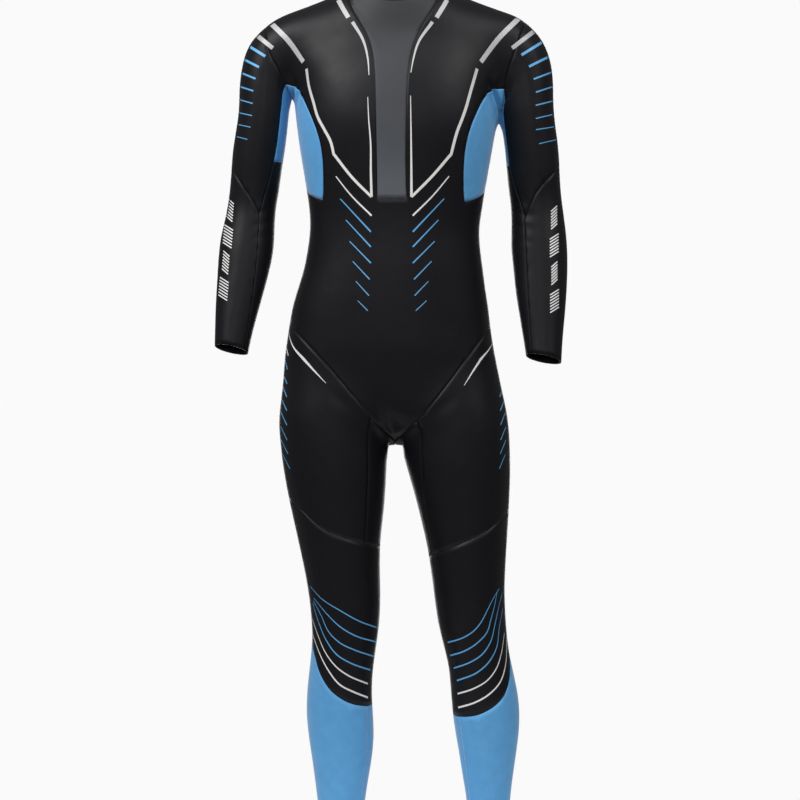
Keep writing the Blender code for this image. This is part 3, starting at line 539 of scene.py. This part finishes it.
cut_panel("chest_strip", BODY_WALL, matte_rubber())

# Back zip tapes.  Woven polyester tapes are sewn under the edges of the back panels and carry the zip.  The
# solids have the right shape, so they stay and get the look of close twill.


def woven_tape():
    material, nodes, links, shader = new_finish("woven tape")
    shader.inputs["Base Color"].default_value = (0.018, 0.018, 0.019, 1)
    shader.inputs["Roughness"].default_value = 0.82
    place = nodes.new("ShaderNodeTexCoord")
    twill = nodes.new("ShaderNodeTexWave")
    twill.bands_direction = "DIAGONAL"
    twill.inputs["Scale"].default_value = 420
    ribs = nodes.new("ShaderNodeBump")
    ribs.inputs["Strength"].default_value = 0.4
    ribs.inputs["Distance"].default_value = 0.0003
    links.new(place.outputs["Object"], twill.inputs["Vector"])
    links.new(twill.outputs["Fac"], ribs.inputs["Height"])
    links.new(ribs.outputs["Normal"], shader.inputs["Normal"])
    return material


tape_cloth = woven_tape()
for side in ("right", "left"):
    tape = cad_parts["zip_tape_" + side]
    tape.data.materials.clear()
    tape.data.materials.append(tape_cloth)

# The coil.  Two nylon spirals are sewn to the tapes and mesh down the middle of the back.  Each turn is a small
# rounded bar, and turns from the two sides alternate.
TURN_PITCH = 1.6
TURN_HALF_LENGTH = 2.0
TURN_OFF_MIDDLE = 1.1
TURN_HALF_WIDTH = 0.55
TURN_HALF_HEIGHT = 0.75
TURN_SUNK = 0.55
COIL_CORE_SUNK = 0.4
COIL_STEP = 0.5
COIL_PLAIN_END = 2
BEHIND_COIL = 50


def coil_line():
    """Places and outward ways down the middle of the coil's outer face, a turn's pitch apart."""
    solid = bmesh.new()
    solid.from_mesh(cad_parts["zip_coil"].data)
    tree = BVHTree.FromBMesh(solid)
    solid.free()
    low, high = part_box("zip_coil")
    middle = (low[0] + high[0]) / 2
    fine = []
    for height in np.arange(high[2] - COIL_PLAIN_END * MM, low[2] + COIL_PLAIN_END * MM, -COIL_STEP * MM):
        behind = Vector((middle, high[1] + BEHIND_COIL * MM, height))
        place, way, _, _ = tree.ray_cast(behind, Vector((0, -1, 0)))
        if place is not None:
            fine.append((place, way))
    run = np.append(0, np.cumsum([(b[0] - a[0]).length for a, b in zip(fine, fine[1:])]))
    picks = np.searchsorted(run, np.arange(0, run[-1], TURN_PITCH / 2 * MM))
    return [fine[pick] for pick in picks]


def coil_turns():
    """The coil's solid, sunk a little as the core, with a copy of one bar for each turn."""
    turns = bmesh.new()
    turns.from_mesh(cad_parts["zip_coil"].data)
    bmesh.ops.remove_doubles(turns, verts=turns.verts, dist=SAME_POINT * MM)
    turns.normal_update()
    for vert in turns.verts:
        vert.co -= vert.normal * COIL_CORE_SUNK * MM
    shape = bmesh.new()
    bmesh.ops.create_uvsphere(shape, u_segments=8, v_segments=6, radius=MM)
    bmesh.ops.scale(shape, vec=(TURN_HALF_LENGTH, TURN_HALF_WIDTH, TURN_HALF_HEIGHT), verts=shape.verts)
    bar = bpy.data.meshes.new("bar")
    shape.to_mesh(bar)
    shape.free()
    line = coil_line()
    for number, (place, way) in enumerate(line):
        before = line[max(number - 1, 0)][0]
        after = line[min(number + 1, len(line) - 1)][0]
        up = (before - after).normalized()
        out = (way - up * way.dot(up)).normalized()
        across = up.cross(out)
        side = 1 if number % 2 else -1
        middle = place - out * TURN_SUNK * MM + across * side * TURN_OFF_MIDDLE * MM
        turn = bar.copy()
        turn.transform(Matrix.Translation(middle) @ Matrix((across, up, out)).transposed().to_4x4())
        turns.from_mesh(turn)
        bpy.data.meshes.remove(turn)
    bpy.data.meshes.remove(bar)
    return turns


def dark_nylon():
    material, nodes, links, shader = new_finish("dark nylon")
    shader.inputs["Base Color"].default_value = (0.028, 0.028, 0.030, 1)
    place = nodes.new("ShaderNodeTexCoord")
    wear = nodes.new("ShaderNodeTexNoise")
    wear.inputs["Scale"].default_value = 500
    polish = nodes.new("ShaderNodeMapRange")
    polish.inputs["To Min"].default_value = 0.28
    polish.inputs["To Max"].default_value = 0.42
    links.new(place.outputs["Object"], wear.inputs["Vector"])
    links.new(wear.outputs["Fac"], polish.inputs["Value"])
    links.new(polish.outputs["Result"], shader.inputs["Roughness"])
    return material


coil = add_piece("zip_coil_turns", coil_turns(), dark_nylon(), "suit")
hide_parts("zip_coil")

# Slider and pull tab.  Both are die-cast and tumbled, so every edge is soft, and then lacquered dark.  The tab
# is hard, hangs by its window from the bridge and swings on it.
METAL_EDGE = 0.45
METAL_EDGE_STEPS = 3
FLAT_METAL_TURN = math.radians(2)


def lacquered_metal():
    material, nodes, links, shader = new_finish("lacquered metal")
    shader.inputs["Base Color"].default_value = (0.10, 0.10, 0.11, 1)
    shader.inputs["Metallic"].default_value = 0.9
    place = nodes.new("ShaderNodeTexCoord")
    tumbling = nodes.new("ShaderNodeTexNoise")
    tumbling.inputs["Scale"].default_value = 700
    gloss = nodes.new("ShaderNodeMapRange")
    gloss.inputs["To Min"].default_value = 0.24
    gloss.inputs["To Max"].default_value = 0.40
    links.new(place.outputs["Object"], tumbling.inputs["Vector"])
    links.new(tumbling.outputs["Fac"], gloss.inputs["Value"])
    links.new(gloss.outputs["Result"], shader.inputs["Roughness"])
    return material


metal = lacquered_metal()
for name, body in (("zip_slider", "suit"), ("pull_tab", "pull_tab")):
    cast = bmesh.new()
    cast.from_mesh(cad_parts[name].data)
    bmesh.ops.remove_doubles(cast, verts=cast.verts, dist=SAME_POINT * MM)
    bmesh.ops.dissolve_limit(cast, angle_limit=FLAT_METAL_TURN, verts=cast.verts, edges=cast.edges)
    piece = add_piece(name + "_cast", cast, metal, body)
    soft_edge = piece.modifiers.new("soft edge", "BEVEL")
    soft_edge.width = METAL_EDGE * MM
    soft_edge.segments = METAL_EDGE_STEPS
    soft_edge.limit_method = "ANGLE"
    soft_edge.harden_normals = True
    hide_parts(name)

# The printed lines.  Silver and blue ink is screened on the finished suit and cured to a thin film.  Places are
# read on the front drawing, the sheet at y = 0 seen from the camera, and each line is laid on the skin there.
# The forearms carry plain slanted bars.
EYE = Vector((7.6, -4500, -640))
INK_LIFT = 0.22
INK_THICKNESS = 0.15
INK_STEP = 3
FEWEST_STEPS = 4
# line: places across and up, width where it starts and where it ends
SILVER_LINES = {
    "collar_stripes": (
        (((-91, 0), (-84, -13), (-75, -28)), 7.5, 7.0),
        (((-68.5, -35), (-51.5, -64), (-44, -93), (-42, -120)), 5.5, 1.2),
        (((83, 0), (76, -12), (66, -28)), 7.0, 7.0),
        (((59.5, -35), (36.5, -69), (29, -94), (25, -116)), 5.5, 1.2),
    ),
    "shoulder_stripes": (
        (((-201, -35), (-170, -66.5), (-147, -99)), 8.5, 7.5),
        (((-226, -53), (-196, -77)), 7.0, 6.5),
        (((199, -28), (164.5, -62.5), (137, -99)), 8.5, 7.5),
        (((226, -47), (187, -77)), 7.0, 6.5),
    ),
    "chest_lines": (
        (((-142, -110), (-138, -138), (-131, -163), (-124, -187), (-113, -208), (-104, -225), (-98, -248)),
         5.5, 4.6),
        (((-98, -247), (-68, -285), (-38, -315)), 4.6, 4.0),
        (((-38, -315), (-39, -275), (-39.5, -227), (-42.5, -190), (-44, -155)), 4.0, 1.0),
        (((131, -110), (120, -148), (113, -173), (107, -190), (100, -208), (89, -248)), 5.5, 4.6),
        (((89, -247), (57, -284), (26, -315)), 4.6, 4.0),
        (((26, -315), (25.5, -243), (24.5, -153)), 4.0, 1.0),
        (((-95, -282), (-72, -311), (-38, -345)), 1.8, 2.8),
        (((86, -282), (62, -311), (28, -345)), 1.8, 2.8),
    ),
    "hip_slashes": (
        (((-171, -524), (-169.5, -537), (-163, -555), (-146.5, -574.5)), 0.9, 4.4),
        (((-146.5, -574.5), (-127, -596), (-111, -613)), 4.4, 0.6),
        (((160.5, -524), (159, -537), (152.5, -555), (137, -574.5)), 0.9, 4.0),
        (((137, -574.5), (123, -596), (110, -617)), 4.0, 0.6),
        (((-175, -554), (-171, -569)), 2.4, 2.4),
        (((166, -554), (162, -569)), 2.4, 2.4),
    ),
    "knee_lines_low": (
        (((-133, -989), (-123, -1018), (-110, -1047), (-91, -1070), (-73, -1082), (-44, -1094)), 1.0, 2.6),
        (((-132, -1015), (-122, -1043), (-108, -1071), (-88, -1096), (-67, -1107), (-44, -1116)), 1.4, 3.0),
        (((174.5, -1013), (169.5, -1046), (162, -1069), (148, -1088), (125, -1102), (100, -1110)), 1.0, 2.6),
        (((178, -1019), (178, -1043), (175, -1071), (168, -1091), (150, -1111), (125, -1125), (101, -1132)),
         1.4, 3.0),
    ),
}
BLUE_LINES = {
    "sleeve_ticks": (
        (((-237, -72), (-208, -90)), 4.3, 4.3),
        (((-244, -94), (-218, -107.5)), 3.7, 3.7),
        (((-249, -115.5), (-223.5, -126)), 2.9, 2.9),
        (((-250, -138), (-227, -145.5)), 2.4, 2.4),
        (((-251, -159), (-228, -165.5)), 1.9, 1.9),
        (((-252, -180), (-229, -185)), 1.6, 1.6),
        (((-253, -199), (-231.5, -203.5)), 1.4, 1.4),
        (((-256, -218), (-236.5, -223)), 1.2, 1.2),
        (((239, -65), (202, -88)), 4.3, 4.3),
        (((248, -89.5), (214, -106.5)), 3.7, 3.7),
        (((253, -114.5), (221.5, -126.5)), 2.6, 2.6),
        (((257, -137), (225, -147.5)), 2.2, 2.2),
        (((258, -160), (225, -168.5)), 2.1, 2.1),
        (((257, -182), (225, -189.5)), 1.7, 1.7),
        (((257, -202.5), (225, -207.5)), 1.5, 1.5),
        (((260, -223), (230, -230)), 1.3, 1.3),
    ),
    "abdomen_lines": (
        (((-88, -318), (-39, -371)), 1.6, 2.6),
        (((-79, -352), (-39, -395)), 1.5, 2.4),
        (((-73, -386), (-39, -421)), 1.4, 2.2),
        (((-68, -418), (-41, -447)), 1.3, 2.0),
        (((-63, -450), (-42, -473)), 1.2, 1.8),
        (((-60, -481), (-44, -497)), 1.1, 1.6),
        (((78, -318), (28, -371)), 1.6, 2.6),
        (((69, -352), (28, -395)), 1.5, 2.4),
        (((63, -386), (28, -421)), 1.4, 2.2),
        (((58, -418), (30, -447)), 1.3, 2.0),
        (((53, -450), (31, -473)), 1.2, 1.8),
        (((50, -481), (33, -497)), 1.1, 1.6),
    ),
    "thigh_ticks": (
        (((-176.5, -575), (-172.5, -591)), 2.4, 2.4),
        (((-178.5, -601), (-173, -614)), 2.4, 2.4),
        (((-180, -618), (-173.5, -635)), 2.2, 2.2),
        (((-181.5, -639), (-173.5, -657)), 2.2, 2.2),
        (((-183, -659), (-173.5, -680)), 2.0, 2.0),
        (((-183, -683), (-173, -704)), 1.8, 1.8),
        (((-182.5, -704), (-171.5, -726)), 1.6, 1.6),
        (((-180, -727), (-168.5, -750)), 1.4, 1.4),
        (((168, -575), (164, -591)), 2.4, 2.4),
        (((171, -601), (166, -614)), 2.4, 2.4),
        (((173, -618), (167, -635)), 2.2, 2.2),
        (((175, -639), (168, -657)), 2.2, 2.2),
        (((176.5, -659), (168.5, -680)), 2.0, 2.0),
        (((177, -683), (168.5, -704)), 1.8, 1.8),
        (((177, -704), (168, -726)), 1.6, 1.6),
        (((176, -727), (166.5, -750)), 1.4, 1.4),
    ),
    "knee_lines": (
        (((-136, -938), (-120, -956), (-88, -977), (-55, -995), (-30, -1004)), 1.0, 2.2),
        (((-130, -957), (-107, -985), (-88, -1003), (-62, -1018), (-31, -1027)), 1.0, 2.4),
        (((-131, -961), (-118, -986), (-107, -1010), (-88, -1029), (-65, -1040), (-35, -1050)), 1.0, 2.4),
        (((-132, -965), (-123, -994), (-110, -1025), (-94, -1047), (-69, -1062), (-40, -1072)), 1.0, 2.6),
        (((166, -942), (156, -959), (147, -977), (137, -996), (125, -1010), (107, -1021), (84, -1028)),
         1.0, 2.2),
        (((163, -947), (159, -968), (153, -991), (147, -1011), (131, -1029), (110, -1042), (88, -1049)),
         1.0, 2.4),
        (((171, -949), (165, -973), (159, -1001), (152, -1028), (139, -1047), (119, -1060), (94, -1069)),
         1.0, 2.4),
        (((172, -973), (166, -1007), (162, -1036), (150, -1059), (131, -1076), (99, -1089)), 1.0, 2.6),
    ),
}
# forearm blocks: where a column of them runs from and to, and how its slanted bars are set
BAR_COLUMNS = (
    ((-263, -322), (-277, -490)),
    ((254, -334), (255, -512)),
)
BLOCKS = 4
NARROW_BLOCK = 0.7
BARS = 7
BAR_SPACING = 4.7
BAR_REACH = 7
BAR_SLANT = 4.5
BAR_WIDTH = 1.8


def smooth_line(places, step):
    """Places on a smooth curve through the given ones, step apart."""
    places = np.array(places, float)
    run = np.append(0, np.cumsum(np.linalg.norm(np.diff(places, axis=0), axis=1)))
    at = np.linspace(0, run[-1], max(FEWEST_STEPS, int(run[-1] / step) + 1))
    if len(places) == 2:
        return np.stack([np.interp(at, run, places[:, axis]) for axis in range(2)], 1)
    slope = np.gradient(places, run, axis=0)
    row = np.clip(np.searchsorted(run, at) - 1, 0, len(run) - 2)
    length = (run[row + 1] - run[row])[:, None]
    part = (at - run[row])[:, None] / length
    return ((1 + 2 * part) * (1 - part) ** 2 * places[row]
            + part * (1 - part) ** 2 * length * slope[row]
            + part ** 2 * (3 - 2 * part) * places[row + 1]
            - part ** 2 * (1 - part) * length * slope[row + 1])


def on_skin(across, up):
    """The place on the skin, and its outward way, that the front drawing shows there."""
    way = (Vector((across, 0, up)) - EYE).normalized()
    place, outward, _, _ = skin_tree.ray_cast(EYE * MM, way)
    return place, outward


def lay_line(film, places, start_width, end_width):
    """A ribbon of ink along a line: a grid laid on the skin, three points wide."""
    spots = []
    for across, up in smooth_line(places, INK_STEP):
        place, outward = on_skin(across, up)
        if place is not None:
            spots.append((place, outward))
    if len(spots) < 3:
        return
    ribbon = bmesh.ops.create_grid(film, x_segments=2, y_segments=len(spots) - 1, size=1)["verts"]
    for number, (place, outward) in enumerate(spots):
        before = spots[max(number - 1, 0)][0]
        after = spots[min(number + 1, len(spots) - 1)][0]
        aside = (after - before).cross(outward).normalized()
        width = start_width + (end_width - start_width) * number / (len(spots) - 1)
        for column, vert in enumerate(ribbon[3 * number:3 * number + 3]):
            near = place + aside * (column - 1) * width / 2 * MM
            nearest, facing, _, _ = skin_tree.find_nearest(near)
            vert.co = nearest + facing * INK_LIFT * MM


def ink(name, upper, lower, roughness):
    """Ink coloured by height, the upper colour on the shoulders and the lower from the chest down: lit and shaded
    copies of one ink, with painted shade on the silver's shoulders.
    """
    material, nodes, links, shader = new_finish(name)
    shader.inputs["Roughness"].default_value = roughness
    place = nodes.new("ShaderNodeTexCoord")
    apart = nodes.new("ShaderNodeSeparateXYZ")
    depth = nodes.new("ShaderNodeMapRange")
    depth.inputs["From Min"].default_value = -0.08
    depth.inputs["From Max"].default_value = -0.24
    lit_and_shaded_ink_ramp = nodes.new("ShaderNodeValToRGB")
    lit_and_shaded_ink_ramp.color_ramp.elements[0].color = (*upper, 1)
    lit_and_shaded_ink_ramp.color_ramp.elements[1].color = (*lower, 1)
    speckle = nodes.new("ShaderNodeTexNoise")
    speckle.inputs["Scale"].default_value = 350
    grain = nodes.new("ShaderNodeBump")
    grain.inputs["Strength"].default_value = 0.2
    grain.inputs["Distance"].default_value = 0.0001
    links.new(place.outputs["Object"], apart.inputs["Vector"])
    links.new(place.outputs["Object"], speckle.inputs["Vector"])
    links.new(apart.outputs["Z"], depth.inputs["Value"])
    links.new(depth.outputs["Result"], lit_and_shaded_ink_ramp.inputs["Fac"])
    links.new(lit_and_shaded_ink_ramp.outputs["Color"], shader.inputs["Base Color"])
    links.new(speckle.outputs["Fac"], grain.inputs["Height"])
    links.new(grain.outputs["Normal"], shader.inputs["Normal"])
    return material


# The colours paint light by height. The silver's darker upper colour is painted shade on the collar and
# shoulders. The blue's slightly lighter upper colour is painted light on the upper sleeves.
silver_ink = ink("silver ink", (0.36, 0.36, 0.36), (0.74, 0.73, 0.72), 0.42)
blue_ink = ink("blue ink", (0.10, 0.36, 0.66), (0.09, 0.33, 0.62), 0.45)
bars = []
for column, ((top_across, top), (bottom_across, bottom)) in enumerate(BAR_COLUMNS):
    turned = 1 if column else -1
    for block in range(BLOCKS):
        block_top = top + (bottom - top) * block / BLOCKS
        reach = BAR_REACH * (1 if block % 2 else NARROW_BLOCK)
        for number in range(BARS):
            up = block_top - number * BAR_SPACING
            across = top_across + (bottom_across - top_across) * (up - top) / (bottom - top)
            ends = ((across - turned * reach, up - BAR_SLANT), (across + turned * reach, up + BAR_SLANT))
            bars.append((ends, BAR_WIDTH, BAR_WIDTH))
SILVER_LINES["forearm_bars"] = bars

for lines, material, slot in ((SILVER_LINES, silver_ink, "print_silver"), (BLUE_LINES, blue_ink, "print_blue")):
    for name, group in lines.items():
        film = bmesh.new()
        for places, start_width, end_width in group:
            lay_line(film, places, start_width, end_width)
        film.normal_update()
        for face in film.faces:
            nearest, facing, _, _ = skin_tree.find_nearest(face.calc_center_median())
            if face.normal.dot(facing) < 0:
                face.normal_flip()
        print_film = add_piece(name, film, material, "suit", smooth=False)
        cured = print_film.modifiers.new("cured ink", "SOLIDIFY")
        cured.thickness = INK_THICKNESS * MM
        cured.offset = -1

# The studio: a pale floor just under the hems, a pale backdrop, broad soft lights on both sides and above, and
# a camera that looks straight at the front from 4.5 metres, cutting the suit off as the photograph does.
FLOOR_GAP = 0.5
FLOOR_RADIUS = 680
ROOM_LIGHT = 0.16
BACKDROP = 0.955
LIGHT_AIM = Vector((0, 0, -0.3))
VIEW_WIDTH = 1280
SENSOR = 36


def plain_paint(name, colour):
    material, _, _, shader = new_finish(name)
    shader.inputs["Base Color"].default_value = (*colour, 1)
    shader.inputs["Roughness"].default_value = 0.9
    shader.inputs["Specular IOR Level"].default_value = 0.1
    return material


floor_mesh = bmesh.new()
bmesh.ops.create_circle(floor_mesh, cap_ends=True, segments=128, radius=FLOOR_RADIUS * MM)
bmesh.ops.translate(floor_mesh, vec=(0, 0, cad_box[0][2] - FLOOR_GAP * MM), verts=floor_mesh.verts)
floor_data = bpy.data.meshes.new("floor")
floor_mesh.to_mesh(floor_data)
floor_mesh.free()
floor_data.materials.append(plain_paint("pale floor", (0.86, 0.86, 0.87)))
floor = bpy.data.objects.new("floor", floor_data)
bpy.context.collection.objects.link(floor)

world = bpy.data.worlds.new("studio")
world.use_nodes = True
room = world.node_tree
room.nodes["Background"].inputs["Color"].default_value = (1, 1, 1, 1)
backdrop_or_light = room.nodes.new("ShaderNodeLightPath")
brightness = room.nodes.new("ShaderNodeMapRange")
brightness.inputs["To Min"].default_value = ROOM_LIGHT
brightness.inputs["To Max"].default_value = BACKDROP
room.links.new(backdrop_or_light.outputs["Is Camera Ray"], brightness.inputs["Value"])
room.links.new(brightness.outputs["Result"], room.nodes["Background"].inputs["Strength"])
bpy.context.scene.world = world


def soft_light(name, place, width, height, power):
    """A soft box. Its place and size are in metres, and it faces the lower chest."""
    data = bpy.data.lights.new(name, "AREA")
    data.shape = "RECTANGLE"
    data.size = width
    data.size_y = height
    data.energy = power
    light = bpy.data.objects.new(name, data)
    light.location = place
    aim = LIGHT_AIM - Vector(place)
    light.rotation_euler = aim.to_track_quat("-Z", "Y").to_euler()
    bpy.context.collection.objects.link(light)


soft_light("key", (-1.7, -1.5, 1.6), 1.5, 1.5, 88)
soft_light("fill", (1.8, -1.4, 1.5), 1.5, 1.5, 44)
soft_light("top", (0, -1.0, 2.0), 1.8, 1.2, 15)
soft_light("front", (0, -3.0, 0.5), 1.0, 1.0, 12)
soft_light("back", (0, 3.2, -0.4), 2.2, 2.2, 66)

camera_data = bpy.data.cameras.new("camera")
camera_data.sensor_width = SENSOR
camera_data.lens = SENSOR * -EYE.y / VIEW_WIDTH
camera = bpy.data.objects.new("camera", camera_data)
camera.location = EYE * MM
camera.rotation_euler = (math.pi / 2, 0, 0)
bpy.context.collection.objects.link(camera)
bpy.context.scene.camera = camera
bpy.context.scene.view_settings.view_transform = "Standard"
